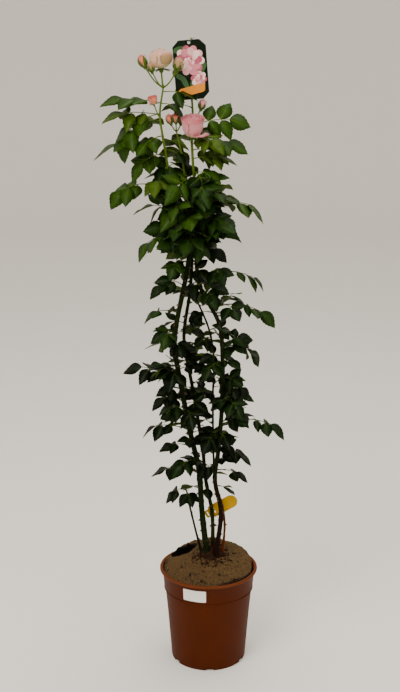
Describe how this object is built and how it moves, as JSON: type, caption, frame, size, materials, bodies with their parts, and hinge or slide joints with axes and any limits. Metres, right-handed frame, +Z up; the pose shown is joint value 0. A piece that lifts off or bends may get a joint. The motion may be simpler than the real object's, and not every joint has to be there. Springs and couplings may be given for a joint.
{
  "type": "potted rose bush",
  "caption": "Tall rose bush with laced green canes, leafy side sprays and pink blooms, growing in a tapered round plastic nursery pot.",
  "frame": {"origin": "centre of the pot's flat underside, on the surface it stands on", "axes": "+Z up along the pot's axis and the canes; -Y is the front, where the picture tag, the open blooms and the pot's label face; +X is the plant's right seen from the front"},
  "size_m": [0.4086, 0.225, 1.4051],
  "materials": {
    "terracotta_plastic": "moulded polypropylene, satin",
    "soil": "moist dark compost",
    "coir": "pressed coconut fibre mat",
    "bark": "rough corky bark",
    "green_bark": "smooth young bark with prickles",
    "leaf": "glossy green leaflets, paler beneath",
    "petal": "thin matt petals, cream to pink, on green stems",
    "printed_card": "laminated printed card",
    "tie_wire": "thin coated wire",
    "yellow_plastic": "flexible plastic tag",
    "white_label": "matt paper label"
  },
  "bodies": {
    "root": {"pot": "terracotta_plastic", "soil": "soil", "coir_mat": "coir", "graft_union": "bark", "cane_left": "green_bark", "cane_back": "green_bark", "cane_right": "green_bark", "cane_thin": "green_bark", "cane_short": "green_bark", "picture_tag": "printed_card", "tag_tie": "tie_wire", "yellow_tag": "yellow_plastic", "flowers_left": "petal", "flowers_middle": "petal", "flowers_right": "petal", "leaves_thin_tip": "leaf", "leaves_short_tip": "leaf", "leaves_left_1": "leaf", "leaves_left_2": "leaf", "leaves_left_3": "leaf", "leaves_left_4": "leaf", "leaves_left_5": "leaf", "leaves_left_6": "leaf", "leaves_left_7": "leaf", "leaves_left_8": "leaf", "leaves_left_9": "leaf", "leaves_right_1": "leaf", "leaves_right_2": "leaf", "leaves_right_3": "leaf", "leaves_right_4": "leaf", "leaves_right_5": "leaf", "leaves_right_6": "leaf", "leaves_right_7": "leaf", "leaves_right_8": "leaf", "leaves_front_1": "leaf", "leaves_front_2": "leaf", "leaves_front_3": "leaf", "leaves_front_4": "leaf", "leaves_front_5": "leaf", "leaves_front_6": "leaf", "leaves_front_7": "leaf", "leaves_front_8": "leaf", "leaves_front_9": "leaf", "leaves_front_10": "leaf", "leaves_front_11": "leaf", "leaves_front_12": "leaf", "leaves_back_1": "leaf", "leaves_back_2": "leaf", "leaves_back_3": "leaf", "leaves_back_4": "leaf", "leaves_back_5": "leaf", "leaves_back_6": "leaf", "leaves_back_7": "leaf", "leaves_back_8": "leaf", "leaves_back_9": "leaf", "leaves_back_10": "leaf", "leaves_back_11": "leaf", "pot_label": "white_label"}
  },
  "joints": []
}
